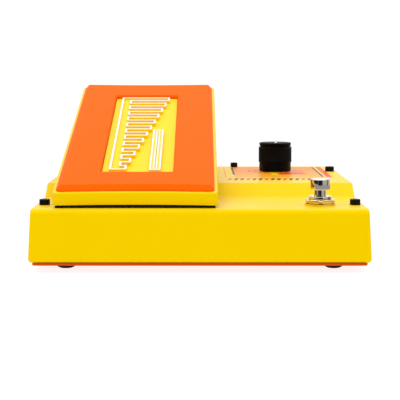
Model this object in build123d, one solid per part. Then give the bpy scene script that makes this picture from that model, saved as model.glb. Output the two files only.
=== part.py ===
from build123d import *
import os
from math import acos, cos, pi, radians, sin, sqrt, tan

# Volume pedal: a treadle that rocks over a stepped steel case, with a selector knob and a footswitch.
# Millimetres. X runs along the width, Y from the front wall to the rear wall, Z up from the floor.

# Clearances
thread_gap = 0.05      # screw shank in its hole, nut on its thread
snug_gap = 0.02        # pieces fixed to each other
running_gap = 0.05     # radial, shafts in bushes
free_gap = 0.4         # between pieces that pass each other

# Case
case_width = 173.0
case_depth = 196.8
deck_height = 32.4
step_rise = 6.9
step_start = 63.5
step_run = 9.0
case_wall = 1.4
side_draft = 3.0       # degrees
front_draft = 1.0      # degrees
front_bend = 3.3
rear_bend = 2.2
step_bend = 0.9
side_round = 1.1
curl_round = 2.0
flange_width = 8.0
side_return = 10.0     # width of the deck that is one with a side wall
end_lip = 1.0

# Bottom plate and feet
plate_thickness = 1.2
plate_corner = 2.5
foot_height = 3.8
foot_radius = 6.35
foot_flat_radius = 2.9
foot_inset_x = 17.4
foot_inset_y = 20.0

# Case fasteners
m3_radius = 1.5
m3_head_radius = 2.75
m3_head_height = 3.0
m3_socket = 2.5
m25_radius = 1.25
m25_head_radius = 2.25
m25_head_height = 2.8
m25_socket = 2.0
flat_head_radius = 2.6
flat_head_height = 1.0
corner_screw_inset = 4.95
front_screw_y = 21.5
rear_screw_inset = 42.3        # from the rear wall
rear_middle_screw_x = 22.0
rear_middle_screw_inset = 6.2  # from the rear wall
pillar_radius = 2.45
cap_screw_length = 9.0
flat_screw_length = 7.0

# Treadle
treadle_x = -32.6
treadle_width = 83.9
treadle_length = 194.0
treadle_tilt = 15.15   # degrees at rest, toe up
treadle_travel = 24.5  # degrees from heel down to toe down
heel_y = 4.4
heel_lift = 1.35
tray_depth = 6.4
tray_top = 1.8
tray_skirt = 1.6
tray_corner = 2.6
tray_draft = 3.6       # degrees
tray_edge_round = 0.7
end_hollow = 1.3
pad_thickness = 3.0
pad_side_margin = 1.5
pad_end_margin = 2.3
pad_corner = 2.4
pad_bevel_run = 2.2
pad_bevel_drop = 2.5
window_width = 37.8
window_length = 140.0
window_middle = 95.0
window_corner = 1.6
window_bevel = 0.7

# Badge in the window
badge_gap = 0.25
badge_thickness = 0.8
emblem_height = 1.7
emblem_pocket = 0.9
emblem_line = 1.05
trim_thickness = 0.25
ramp_bars = 12
ramp_bar_pitch = 11.4
ramp_bar_width = 6.8
ramp_spine_width = 6.0
ramp_short = 9.0
ramp_long = 29.0
ramp_margin = 4.0

# Pivot
pivot_reach = 98.0     # along the tray from the heel
pivot_drop = 5.6       # below the tray's lower edge
shaft_radius = 3.0
bush_wall = 1.4
bush_flange = 1.0
bush_flange_radius = 5.8
lug_radius = 6.2
lug_thickness = 3.0
lug_gap = 7.0          # between the middles of a lug and its ear
bracket_margin = 16.0  # plate beyond a lug's middle
bracket_length = 42.0
bracket_thickness = 2.0
bracket_screw_inset = (7.0, 6.0)
ear_inset = 6.0        # from the hinge frame's side to an ear's middle
ear_thickness = 2.5
ear_radius = 6.2
frame_side_room = 6.95  # between the tray's side and the hinge frame
frame_length = 30.0
frame_thickness = 2.0
frame_screw_inset = (10.0, 5.0)
clip_radius = 5.0
clip_thickness = 1.0
shaft_overhang = 2.4

# Gear sector and pinion
gear_module = 1.0
sector_teeth = 56
pinion_teeth = 12
sector_first_tooth = -2
sector_last_tooth = 6
addendum = 0.7
dedendum = 1.1
tooth_backlash = 0.12
pressure_angle = 20.0  # degrees
sector_thickness = 4.0
sector_foot = (24.0, 16.0, 2.0)
sector_screw_offset = 8.0
pinion_width = 6.0
hub_radius = 4.7
hub_length = 4.0
slot_width = 8.0
slot_length = 36.0

# Sensor potentiometer
sensor_shaft_radius = 3.0
sensor_radius = 8.5
sensor_length = 9.0
sensor_neck_radius = 4.4
sensor_bracket_thickness = 1.6
sensor_bracket_width = 22.0
sensor_bracket_foot = 14.0
sensor_bracket_lip = 9.0
sensor_nut_width = 12.0
sensor_nut_height = 2.0
sensor_gap = 1.2

# Stops
heel_stop = (81.0, 12.0, 1.1)
heel_stop_y = 5.6
toe_stop_width = 6.0
toe_stop_length = 14.0
toe_stop_rear = 8.0
toe_stop_gap = 0.5

# Footswitch
switch_x = 62.0
switch_y = 21.5
switch_case = (16.0, 16.0, 14.0)
switch_barrel_radius = 5.8
switch_collar = 1.6
switch_washer_radius = 8.2
switch_washer_height = 0.9
switch_nut_width = 14.0
switch_nut_height = 2.2
stem_radius = 3.15
stem_visible = 3.2
stem_insertion = 9.0
button_radius = 5.2
button_height = 5.8
button_round = 0.6
switch_travel = 2.2
spring_wire = 0.35
spring_radius = 2.2
spring_turns = 4
spring_space = 5.2
terminal_size = (0.6, 2.2, 4.0)
terminal_pitch = 4.7

# Selector knob
knob_x = 46.5
knob_inset = 40.8      # from the rear wall
skirt_radius = 9.8
skirt_height = 5.2
skirt_wall = 1.5
grip_radius = 10.15
grip_height = 9.7
flute_count = 44
flute_radius = 0.42
cap_radius = 9.8
cap_height = 2.6
cap_bevel = 0.7
knob_lift = 0.4
insert_radius = 4.6
selector_shaft_radius = 3.0
selector_case = (14.0, 14.0, 8.0)
selector_neck_radius = 4.4
selector_nut_width = 12.0
selector_nut_height = 2.0
selector_washer_radius = 6.6
selector_washer_height = 0.6
pointer = (1.3, 6.5, 0.25)

# Jacks in the rear wall
jack_height = 16.0     # centre above the bottom plate
jack_offsets = (-62.0, 62.0)
jack_case = (16.0, 25.0, 16.0)
jack_neck_radius = 5.6
jack_neck_length = 6.4
jack_bore_radius = 3.25
jack_bore_length = 29.0
jack_nut_width = 15.0
jack_nut_height = 2.2
jack_washer_radius = 8.4
jack_washer_height = 0.8
power_x = 2.0
power_radius = 5.5
power_flange_radius = 7.2
power_flange = 1.4
power_length = 13.0
power_bore_radius = 2.85
power_pin_radius = 1.05

# Circuit board
board = (72.0, 88.0, 1.6)
board_x = 40.0
board_inset = 79.8     # from the rear wall to the board's middle
board_lift = 5.0
board_hole_inset = 4.0
board_standoff_radius = 2.5
board_chip = (14.0, 14.0, 1.6)
board_capacitor_radius = 3.2
board_capacitor_height = 7.5

# Levels and places that follow from the sizes above
plate_top = foot_height + plate_thickness
panel_height = deck_height + step_rise
step_end = step_start + step_run
tilt = radians(treadle_tilt)
heel_z = deck_height + heel_lift
pivot_y = heel_y + pivot_reach * cos(tilt) + pivot_drop * sin(tilt)
pivot_z = heel_z + pivot_reach * sin(tilt) - pivot_drop * cos(tilt)
sector_radius = gear_module * sector_teeth / 2
pinion_radius = gear_module * pinion_teeth / 2
pinion_z = pivot_z - sector_radius - pinion_radius
sensor_hole = sensor_neck_radius + 2 * thread_gap
jack_z = plate_top + jack_height
rear_y = case_depth
rear_screw_y = rear_y - rear_screw_inset
rear_middle_screw = (rear_middle_screw_x, rear_y - rear_middle_screw_inset)
knob_y = rear_y - knob_inset
board_centre = (board_x, rear_y - board_inset)
frame_width = treadle_width - 2 * frame_side_room
frame_plate = (frame_width, frame_length, frame_thickness)
frame_screw_spacing = (frame_width - 2 * frame_screw_inset[0], frame_length - 2 * frame_screw_inset[1])
ear_offset = frame_width / 2 - ear_inset
lug_offset = ear_offset - lug_gap
bracket_width = 2 * (lug_offset + bracket_margin)
bracket_plate = (bracket_width, bracket_length, bracket_thickness)
bracket_screw_spacing = (bracket_width - 2 * bracket_screw_inset[0],
                         bracket_length - 2 * bracket_screw_inset[1])
switch_nut_top = deck_height + switch_washer_height + switch_nut_height
collar_top = switch_nut_top + switch_collar
button_base = collar_top + stem_visible
knob_base = panel_height + knob_lift


# Fasteners and plain solids -------------------------------------------------------------------------

def side_x(z):
    """Half width of the case at a height, from its drafted side walls."""
    return case_width / 2 - (z - plate_top) * tan(radians(side_draft))


def rod(radius, length):
    """Round bar standing on the origin along +Z."""
    return Cylinder(radius, length, align=(Align.CENTER, Align.CENTER, Align.MIN))


def block(size):
    """Box standing on the origin along +Z."""
    return Box(*size, align=(Align.CENTER, Align.CENTER, Align.MIN))


def ring(outer, inner, height):
    return rod(outer, height) - rod(inner, height)


def hex_bar(width, height):
    """Hexagonal bar, given across its flats."""
    return extrude(RegularPolygon(width / 2, 6, major_radius=False), height)


def hex_nut(width, bore, height):
    """Nut with its corners turned down, standing on the origin."""
    corner = width / sqrt(3)
    cone = Cone(corner + height, corner - 0.12 * height, 1.12 * height,
                align=(Align.CENTER, Align.CENTER, Align.MIN))
    return (hex_bar(width, height) & cone) - rod(bore, height)


def cap_screw(radius, head_radius, head_height, socket, length):
    """Socket cap screw, its head standing on z = 0 and its shank hanging down."""
    head = rod(head_radius, head_height)
    head = chamfer(head.edges().group_by(Axis.Z)[-1], 0.3)
    head -= Pos(0, 0, head_height * 0.45) * hex_bar(socket, head_height)
    return head + Pos(0, 0, -length) * rod(radius, length)


def flat_screw(radius, length):
    """Countersunk screw, its flat face at z = 0 and its shank hanging down."""
    head = Cone(radius, flat_head_radius, flat_head_height, align=(Align.CENTER, Align.CENTER, Align.MAX))
    screw = head + Pos(0, 0, -length) * rod(radius, length - flat_head_height)
    return screw - Pos(0, 0, -flat_head_height * 0.6) * hex_bar(radius * 1.2, flat_head_height)


def flat_screw_hole(radius, depth):
    """Countersunk hole for flat_screw, open at z = 0 and cut down through the depth."""
    gap = thread_gap
    head = Cone(radius + gap, flat_head_radius + gap, flat_head_height,
                align=(Align.CENTER, Align.CENTER, Align.MAX))
    return head + Pos(0, 0, -depth) * rod(radius + gap, depth - flat_head_height)


def corner_places():
    """X, Y and top level of the four corner screws: two on the front deck, two on the raised panel."""
    x = side_x(deck_height) - corner_screw_inset
    levels = ((front_screw_y, deck_height), (rear_screw_y, panel_height))
    return [(side * x, y, level) for y, level in levels for side in (-1, 1)]


def grid(spacing):
    """The four corners of a rectangle about the origin."""
    return [(i * spacing[0] / 2, j * spacing[1] / 2) for i in (-1, 1) for j in (-1, 1)]


# Case -----------------------------------------------------------------------------------------------

def case_section(foot):
    """Side section of the case in the YZ plane, its walls carried down to the foot level."""
    lean = tan(radians(front_draft))
    front_foot = (foot - plate_top) * lean
    front_top = (deck_height - plate_top) * lean
    corners = [(front_foot, foot), (front_top, deck_height), (step_start, deck_height),
               (step_end, panel_height), (rear_y, panel_height), (rear_y, foot)]
    section = make_face(Polyline(*corners, close=True))
    for corner, radius in ((corners[1], front_bend), (corners[2], step_bend),
                           (corners[3], step_bend), (corners[4], rear_bend)):
        vertex = section.vertices().sort_by_distance((corner[0], corner[1], 0))[0]
        section = fillet(vertex, radius)
    return section


def case_front(foot, inset):
    """Front section of the case in the XZ plane: a trapezium with drafted sides."""
    low = side_x(foot) - inset
    high = side_x(panel_height + 5) - inset
    return make_face(Polyline((-low, foot), (-high, panel_height + 5), (high, panel_height + 5),
                              (low, foot), close=True))


def case_block(foot, inset):
    """Solid of the case's outer shape, or of its hollow when inset by the wall."""
    section = case_section(foot)
    if inset:
        section = offset(section, -inset, kind=Kind.INTERSECTION)
    length = extrude(Plane.YZ * section, case_width / 2 + 5, both=True)
    across = extrude(Plane.XZ * case_front(foot - inset, inset), -(case_depth + 10))
    across += extrude(Plane.XZ * case_front(foot - inset, inset), 10)
    return length & across


def case_shell():
    """Hollow stepped cover with in-turned flanges along its lower side edges, and its holes."""
    outer = case_block(plate_top, 0)
    sides = [face for face in outer.faces() if abs(face.normal_at().X) > 0.9]
    edges = [edge for face in sides for edge in face.edges()]
    upper = [edge for edge in edges if abs(edge.center().Z - plate_top) >= 0.01]
    outer = fillet(upper, side_round)
    low = [edge for edge in outer.edges()
           if abs(edge.center().Z - plate_top) < 0.01 and edge.length > case_depth / 2
           and abs(edge.center().X) > case_width / 4]
    outer = fillet(low, curl_round)
    shell = outer - case_block(plate_top, case_wall)
    opening = (case_width - 2 * flange_width, case_depth - 2 * (case_wall + end_lip), 3 * case_wall)
    shell -= Pos(0, case_depth / 2, plate_top - case_wall) * block(opening)
    for x, y, z in corner_places():
        shell -= Pos(x, y, plate_top - 1) * rod(m3_radius + thread_gap, z)
    x, y = rear_middle_screw
    shell -= Pos(x, y, panel_height - 2 * case_wall) * rod(m25_radius + thread_gap, 3 * case_wall)
    shell -= Pos(switch_x, switch_y, deck_height - 5) * rod(switch_barrel_radius + thread_gap, 10)
    shell -= Pos(knob_x, knob_y, panel_height - 5) * rod(selector_neck_radius + thread_gap, 10)
    shell -= Pos(treadle_x, pivot_y, panel_height - 5) * block((slot_width, slot_length, 10))
    for x, y in grid(bracket_screw_spacing):
        shell -= Pos(treadle_x + x, pivot_y + y, panel_height - 5) * rod(m3_radius + thread_gap, 10)
    for x in jack_offsets:
        shell -= Pos(x, rear_y - 5, jack_z) * Rot(-90, 0, 0) * rod(jack_neck_radius + thread_gap, 10)
    shell -= Pos(power_x, rear_y - 5, jack_z) * Rot(-90, 0, 0) * rod(power_radius + thread_gap, 10)
    return shell


def case_middle():
    """Space between the two side walls."""
    width = case_width - 2 * side_return
    return Pos(0, case_depth / 2, 0) * block((width, 2 * case_depth, 2 * panel_height))


def top_housing():
    """Folded sheet between the side walls: front wall, deck, step, raised panel and rear wall."""
    return case_shell() & case_middle()


def side_walls():
    """Left and right sides of the case, welded flush to the folded sheet."""
    return case_shell() - case_middle()


def bottom_plate():
    """Flat closing plate, with countersinks for the corner screws and holes for the board and sensor."""
    size = (case_width - 2 * curl_round, case_depth - 0.6)
    outline = RectangleRounded(*size, plate_corner)
    plate = Pos(0, case_depth / 2, foot_height) * extrude(outline, plate_thickness)
    for x, y, z in corner_places():
        plate -= Pos(x, y, foot_height) * Rot(180, 0, 0) * flat_screw_hole(m3_radius, 2 * plate_thickness)
    for x, y in sensor_screw_places():
        plate -= Pos(x, y, foot_height) * rod(m25_radius + thread_gap, plate_thickness)
    return plate


def rubber_feet():
    """Four moulded domes with a small flat to stand on."""
    outline = make_face([
        Line((0, 0), (foot_flat_radius, 0)),
        ThreePointArc((foot_flat_radius, 0), (foot_radius - 1.05, 0.4 * foot_height),
                      (foot_radius, foot_height)),
        Line((foot_radius, foot_height), (0, foot_height)),
        Line((0, foot_height), (0, 0)),
    ])
    dome = revolve(Plane.XZ * outline, Axis.Z)
    reach = case_width / 2 - foot_inset_x
    places = [(x, y) for x in (-reach, reach) for y in (foot_inset_y, case_depth - foot_inset_y)]
    return [Pos(x, y, 0) * dome for x, y in places]


def corner_pillars():
    """Threaded pillars between the flanges and the top sheet, under the corner screws."""
    low = plate_top + case_wall
    pillars = []
    for x, y, z in corner_places():
        tall = z - case_wall - low
        pillars.append(Pos(x, y, low) * ring(pillar_radius, m3_radius + thread_gap, tall))
    return pillars


def housing_cap_screws():
    screw = cap_screw(m3_radius, m3_head_radius, m3_head_height, m3_socket, cap_screw_length)
    return [Pos(*place) * screw for place in corner_places()]


def bottom_plate_screws():
    screw = Rot(180, 0, 0) * flat_screw(m3_radius, flat_screw_length)
    return [Pos(x, y, foot_height) * screw for x, y, z in corner_places()]


def rear_pillar():
    """Full-height pillar that the small rear screw holds the panel down to."""
    x, y = rear_middle_screw
    return Pos(x, y, plate_top) * ring(pillar_radius, m25_radius + thread_gap,
                                       panel_height - case_wall - plate_top)


def rear_cap_screw():
    screw = cap_screw(m25_radius, m25_head_radius, m25_head_height, m25_socket, cap_screw_length)
    return Pos(*rear_middle_screw, panel_height) * screw


def heel_stop_pad():
    return Pos(treadle_x, heel_stop_y + heel_stop[1] / 2, deck_height) * block(heel_stop)


def toe_stop_pads():
    """Two bumpers under the tray's side skirts, as tall as the treadle leaves when its toe is down."""
    end = rear_y - toe_stop_rear
    low = radians(treadle_tilt - treadle_travel)
    reach = (end - pivot_y) / cos(low)
    height = pivot_z - panel_height + pivot_drop * cos(low) + reach * sin(low) - toe_stop_gap
    side = (treadle_width - toe_stop_width) / 2
    size = (toe_stop_width, toe_stop_length, height)
    y = end - toe_stop_length / 2
    return [Pos(treadle_x + x, y, panel_height) * block(size) for x in (-side, side)]


# Treadle --------------------------------------------------------------------------------------------

def on_treadle(shape):
    """Places a piece drawn with the tray's lower heel edge at the origin and its length along +Y."""
    return Pos(treadle_x, heel_y, heel_z) * Rot(treadle_tilt, 0, 0) * shape


def hollow_ended(width, length, start, hollow, corner):
    """Plan outline of a plate whose two ends curve inwards."""
    x, end = width / 2, start + length
    outline = make_face([
        ThreePointArc((-x, start), (0, start + hollow), (x, start)),
        Line((x, start), (x, end)),
        ThreePointArc((x, end), (0, end - hollow), (-x, end)),
        Line((-x, end), (-x, start)),
    ])
    return fillet(outline.vertices(), corner)


def tray_outline(level, inset):
    """Plan outline of the tray at a level of its drafted skirts, or of its hollow when inset."""
    drawn_in = level * tan(radians(tray_draft)) + inset
    width = treadle_width - 2 * drawn_in
    length = treadle_length - 2 * drawn_in
    corner = max(tray_corner - inset, 0.5)
    return hollow_ended(width, length, drawn_in, end_hollow, corner)


def treadle_tray():
    """Shallow tray, open below, with slightly drafted skirts and inward-curving ends."""
    ceiling = tray_depth - tray_top
    tray = loft([tray_outline(0, 0), Pos(0, 0, tray_depth) * tray_outline(tray_depth, 0)])
    tray = fillet(tray.edges().group_by(Axis.Z)[-1], tray_edge_round)
    tray -= loft([tray_outline(0, tray_skirt), Pos(0, 0, ceiling) * tray_outline(ceiling, tray_skirt)])
    for x, y in grid(frame_screw_spacing):
        hole = flat_screw_hole(m3_radius, 2 * tray_top)
        tray -= Pos(x, pivot_reach + y, tray_depth) * hole
    return on_treadle(tray)


def treadle_pad():
    """Moulded tread pad with bevelled edges and a long window."""
    width = treadle_width - 2 * pad_side_margin - 2 * tray_depth * tan(radians(tray_draft))
    start = pad_end_margin
    length = treadle_length - 2 * pad_end_margin
    pad = extrude(hollow_ended(width, length, start, end_hollow, pad_corner), pad_thickness)
    pad = chamfer(pad.edges().group_by(Axis.Z)[-1], pad_bevel_drop, pad_bevel_run)
    window = RectangleRounded(window_width, window_length, window_corner)
    middle = window_middle
    pad -= Pos(0, middle, 0) * extrude(window, pad_thickness)
    wide = RectangleRounded(window_width + 2 * window_bevel, window_length + 2 * window_bevel,
                            window_corner + window_bevel)
    flare = loft([window, Pos(0, 0, window_bevel) * wide])
    pad -= Pos(0, middle, pad_thickness - window_bevel) * flare
    return on_treadle(Pos(0, 0, tray_depth) * pad)


def badge_plate():
    width = window_width - 2 * badge_gap
    length = window_length - 2 * badge_gap
    plate = extrude(RectangleRounded(width, length, window_corner - badge_gap), badge_thickness)
    return on_treadle(Pos(0, window_middle, tray_depth) * plate)


def ramp_outline(inset):
    """A rising row of bars on a spine, like a volume scale, shrunk by the inset."""
    span = (ramp_bars - 1) * ramp_bar_pitch + ramp_bar_width
    left = -window_width / 2 + ramp_margin
    spine = Rectangle(ramp_spine_width - 2 * inset, span - 2 * inset)
    outline = Pos(left + ramp_spine_width / 2, 0) * spine
    for index in range(ramp_bars):
        reach = ramp_short + (ramp_long - ramp_short) * index / (ramp_bars - 1)
        y = index * ramp_bar_pitch + ramp_bar_width / 2 - span / 2
        low = left + inset
        wide = reach - 2 * inset
        outline += Pos(low + wide / 2, y) * Rectangle(wide, ramp_bar_width - 2 * inset)
    return outline


def badge_emblem():
    """Raised ramp of bars with a sunk face inside its border."""
    body = extrude(ramp_outline(0), emblem_height)
    body -= Pos(0, 0, emblem_height - emblem_pocket) * extrude(ramp_outline(emblem_line), emblem_pocket)
    return on_treadle(Pos(0, window_middle, tray_depth + badge_thickness) * body)


def emblem_trim():
    """Thin enamel line on the emblem's raised border."""
    line = extrude(ramp_outline(0) - ramp_outline(emblem_line), trim_thickness)
    return on_treadle(Pos(0, window_middle, tray_depth + badge_thickness + emblem_height) * line)


def frame_place(shape):
    """Places a piece drawn about the pivot, with the tray's underside at its drawn level."""
    return on_treadle(Pos(0, pivot_reach, -pivot_drop) * shape)


def frame_top():
    """Level of the tray's underside above the pivot."""
    return pivot_drop + tray_depth - tray_top


def treadle_hinge_frame():
    """Plate under the tray with two ears that hang to the pivot shaft."""
    top = frame_top()
    thick = frame_thickness
    frame = Pos(0, 0, top - thick) * block(frame_plate)
    for side in (-1, 1):
        x = side * ear_offset
        cheek = Pos(x, 0, 0) * block((ear_thickness, 2 * ear_radius, top - thick))
        eye = Pos(x - ear_thickness / 2, 0, 0) * Rot(0, 90, 0) * rod(ear_radius, ear_thickness)
        frame += cheek + eye
    frame -= Pos(-ear_offset - 5, 0, 0) * Rot(0, 90, 0) * rod(shaft_radius + snug_gap, 2 * ear_offset + 10)
    for x, y in grid(frame_screw_spacing):
        frame -= Pos(x, y, top - 2 * thick) * rod(m3_radius + thread_gap, 3 * thick)
    for x in (-sector_screw_offset, sector_screw_offset):
        frame -= Pos(x, 0, top) * flat_screw_hole(m3_radius, 2 * thick)
    return frame_place(frame)


def hinge_frame_screws():
    screw = flat_screw(m3_radius, tray_top + frame_thickness)
    return [on_treadle(Pos(x, pivot_reach + y, tray_depth) * screw) for x, y in grid(frame_screw_spacing)]


def sector_screws():
    screw = flat_screw(m3_radius, frame_thickness + sector_foot[2])
    places = (-sector_screw_offset, sector_screw_offset)
    return [frame_place(Pos(x, 0, frame_top()) * screw) for x in places]


def pivot_shaft():
    half = ear_offset + ear_thickness / 2 + clip_thickness + shaft_overhang
    return Pos(treadle_x - half, pivot_y, pivot_z) * Rot(0, 90, 0) * rod(shaft_radius, 2 * half)


def shaft_clips():
    """Retaining clips outside the two ears."""
    gap = ear_offset + ear_thickness / 2 + snug_gap
    clip = Rot(0, 90, 0) * ring(clip_radius, shaft_radius + snug_gap, clip_thickness)
    places = (treadle_x - gap - clip_thickness, treadle_x + gap)
    return [Pos(x, pivot_y, pivot_z) * clip for x in places]


# Gear sector and pinion -----------------------------------------------------------------------------

def involute(angle):
    return tan(angle) - angle


def gear_teeth(teeth, first, last, centre_angle):
    """Tooth outlines from the root to the tip about the origin, tooth zero at the centre angle."""
    pitch = gear_module * teeth / 2
    alpha = radians(pressure_angle)
    base = pitch * cos(alpha)
    tip = pitch + addendum * gear_module
    root = pitch - dedendum * gear_module
    half = pi / (2 * teeth) - tooth_backlash / (2 * pitch)

    def flank(radius):
        turned = involute(acos(base / radius)) if radius > base else 0.0
        return half + involute(alpha) - turned

    start = max(base, root)
    steps = 5
    radii = [start + (tip - start) * index / steps for index in range(steps + 1)]
    profile = [(root - 0.4, flank(start))] + [(radius, flank(radius)) for radius in radii]
    shape = Sketch()
    for index in range(first, last + 1):
        middle = centre_angle + index * 2 * pi / teeth
        rising = [(r * cos(middle - a), r * sin(middle - a)) for r, a in profile]
        falling = [(r * cos(middle + a), r * sin(middle + a)) for r, a in reversed(profile)]
        shape += make_face(Polyline(*rising, *falling, close=True))
    return shape


def gear_sector():
    """Toothed sector that hangs from the hinge frame through the slot to the sensor."""
    root = sector_radius - dedendum * gear_module
    step = 360 / sector_teeth
    low = -90 + (sector_first_tooth - 0.5) * step
    high = -90 + (sector_last_tooth + 0.5) * step
    a, b = radians(low), radians(high)
    middle = (a + b) / 2
    eye = shaft_radius + 3.5
    blade = make_face([
        Line((0, 0), (root * cos(a), root * sin(a))),
        ThreePointArc((root * cos(a), root * sin(a)), (root * cos(middle), root * sin(middle)),
                      (root * cos(b), root * sin(b))),
        Line((root * cos(b), root * sin(b)), (0, 0)),
    ])
    outline = blade + Circle(eye) + gear_teeth(sector_teeth, sector_first_tooth, sector_last_tooth, -pi / 2)
    plate = extrude(Plane.YZ * outline, sector_thickness / 2, both=True)
    sector = Pos(treadle_x, pivot_y, pivot_z) * plate
    rise = frame_top() - frame_thickness
    neck = block((sector_thickness, 2 * eye, rise))
    foot = Pos(0, 0, rise - sector_foot[2]) * block(sector_foot)
    for x in (-sector_screw_offset, sector_screw_offset):
        foot -= Pos(x, 0, rise - 2 * sector_foot[2]) * rod(m3_radius + thread_gap, 3 * sector_foot[2])
    sector += frame_place(neck + foot)
    bore = Rot(0, 90, 0) * rod(shaft_radius + snug_gap, 40)
    return sector - Pos(treadle_x - 20, pivot_y, pivot_z) * bore


def pinion_gear():
    """Pinion with a hub for its set screw, a tooth gap facing up to the sector."""
    root = pinion_radius - dedendum * gear_module
    offset_angle = pi / 2 + pi / pinion_teeth
    outline = Circle(root) + gear_teeth(pinion_teeth, 0, pinion_teeth - 1, offset_angle)
    gear = extrude(Plane.YZ * outline, pinion_width / 2, both=True)
    gear += Pos(-pinion_width / 2 - hub_length, 0, 0) * Rot(0, 90, 0) * rod(hub_radius, hub_length)
    gear -= Pos(-20, 0, 0) * Rot(0, 90, 0) * rod(sensor_shaft_radius + snug_gap, 40)
    gear -= Pos(-pinion_width / 2 - hub_length / 2, 0, 0) * rod(1 + thread_gap, 10)
    return Pos(treadle_x, pivot_y, pinion_z) * gear


def pinion_set_screw():
    start = sensor_shaft_radius + snug_gap
    screw = rod(1, hub_radius - start)
    return Pos(treadle_x - pinion_width / 2 - hub_length / 2, pivot_y, pinion_z + start + 0.05) * screw


# Sensor potentiometer -------------------------------------------------------------------------------

def sensor_face():
    """X of the bracket plate's side that faces the pinion."""
    return treadle_x + pinion_width / 2 + sensor_gap + sensor_nut_height


def along_x(x, shape):
    """Places a piece drawn along +Z so that it runs along +X from x, on the pinion's axis."""
    return Pos(x, pivot_y, pinion_z) * Rot(0, 90, 0) * shape


def sensor_body():
    """Round potentiometer with a threaded neck towards the pinion."""
    back = sensor_face() + sensor_bracket_thickness
    case = along_x(back, rod(sensor_radius, sensor_length))
    neck_start = sensor_face() - sensor_nut_height - 0.4
    body = case + along_x(neck_start, rod(sensor_neck_radius, back - neck_start))
    return body - along_x(neck_start, rod(sensor_shaft_radius + running_gap, back - neck_start + 5))


def sensor_shaft():
    start = treadle_x - pinion_width / 2 - hub_length
    end = sensor_face() + sensor_bracket_thickness + 4
    return along_x(start, rod(sensor_shaft_radius, end - start))


def sensor_nut():
    nut = hex_nut(sensor_nut_width, sensor_neck_radius + thread_gap, sensor_nut_height)
    return Pos(sensor_face(), pivot_y, pinion_z) * Rot(0, -90, 0) * nut


def sensor_screw_places():
    x = sensor_face() + sensor_bracket_thickness + sensor_bracket_foot / 2
    return [(x, pivot_y - 7.0), (x, pivot_y + 7.0)]


def sensor_bracket():
    """Bent angle that stands on the bottom plate and holds the potentiometer."""
    thick = sensor_bracket_thickness
    height = pinion_z + sensor_bracket_lip - plate_top
    x = sensor_face()
    wall = Pos(x + thick / 2, pivot_y, plate_top) * block((thick, sensor_bracket_width, height))
    foot_size = (sensor_bracket_foot + thick, sensor_bracket_width, thick)
    foot = Pos(x + foot_size[0] / 2, pivot_y, plate_top) * block(foot_size)
    bracket = wall + foot - along_x(x - 5, rod(sensor_hole, 12))
    for place in sensor_screw_places():
        bracket -= Pos(*place, plate_top - 1) * rod(m25_radius + thread_gap, 5)
    return bracket


def sensor_bracket_screws():
    length = sensor_bracket_thickness + plate_thickness
    screw = cap_screw(m25_radius, m25_head_radius, 1.8, m25_socket, length)
    level = plate_top + sensor_bracket_thickness
    return [Pos(*place, level) * screw for place in sensor_screw_places()]


# Pivot bracket --------------------------------------------------------------------------------------

def pivot_base_plate():
    """Plate on the raised panel, slotted for the gear sector."""
    plate = block(bracket_plate) - block((slot_width, slot_length, bracket_thickness))
    for x, y in grid(bracket_screw_spacing):
        plate -= Pos(x, y, 0) * rod(m3_radius + thread_gap, bracket_thickness)
    return Pos(treadle_x, pivot_y, panel_height) * plate


def pivot_lugs():
    """Two round-topped lugs, welded upright on the plate, that carry the bushes."""
    level = panel_height + bracket_thickness
    web = block((lug_thickness, 2 * lug_radius, pivot_z - level))
    across = Pos(-lug_thickness / 2, 0, pivot_z - level) * Rot(0, 90, 0)
    hole = rod(shaft_radius + running_gap + bush_wall + snug_gap, lug_thickness)
    lug = web + across * rod(lug_radius, lug_thickness) - across * hole
    return [Pos(treadle_x + x, pivot_y, level) * lug for x in (-lug_offset, lug_offset)]


def pivot_bushes():
    """Two flanged bushes, pressed into the lugs from outside."""
    bore = shaft_radius + running_gap
    sleeve = ring(bore + bush_wall, bore, lug_thickness)
    flange = Pos(0, 0, lug_thickness) * ring(bush_flange_radius, bore, bush_flange)
    bush = sleeve + flange
    right = Pos(treadle_x + lug_offset - lug_thickness / 2, pivot_y, pivot_z) * Rot(0, 90, 0) * bush
    left = Pos(treadle_x - lug_offset + lug_thickness / 2, pivot_y, pivot_z) * Rot(0, -90, 0) * bush
    return [left, right]


def bracket_screws():
    length = bracket_thickness + case_wall + 2.6
    screw = cap_screw(m3_radius, m3_head_radius, 2.0, m3_socket, length)
    level = panel_height + bracket_thickness
    return [Pos(treadle_x + x, pivot_y + y, level) * screw for x, y in grid(bracket_screw_spacing)]


def bracket_nuts():
    nut = hex_nut(5.5, m3_radius + thread_gap, 2.4)
    level = panel_height - case_wall
    return [Pos(treadle_x + x, pivot_y + y, level) * Rot(180, 0, 0) * nut
            for x, y in grid(bracket_screw_spacing)]


# Footswitch -----------------------------------------------------------------------------------------

def at_switch(z, shape):
    return Pos(switch_x, switch_y, z) * shape


def footswitch_body():
    """Switch case under the deck with a threaded barrel that stands through it."""
    ceiling = deck_height - case_wall
    bottom = ceiling - switch_case[2]
    body = at_switch(bottom, block(switch_case))
    body += at_switch(ceiling, rod(switch_barrel_radius, collar_top - ceiling))
    guide = collar_top - stem_insertion - switch_travel - spring_space
    return body - at_switch(guide, rod(stem_radius + running_gap, collar_top - guide))


def footswitch_washer():
    inner = switch_barrel_radius + thread_gap
    return at_switch(deck_height, ring(switch_washer_radius, inner, switch_washer_height))


def footswitch_nut():
    nut = hex_nut(switch_nut_width, switch_barrel_radius + thread_gap, switch_nut_height)
    return at_switch(deck_height + switch_washer_height, Rot(0, 0, 8) * nut)


def footswitch_stem():
    low = collar_top - stem_insertion
    return at_switch(low, rod(stem_radius, button_base - low))


def footswitch_button():
    button = rod(button_radius, button_height)
    return at_switch(button_base, fillet(button.edges(), button_round))


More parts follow.
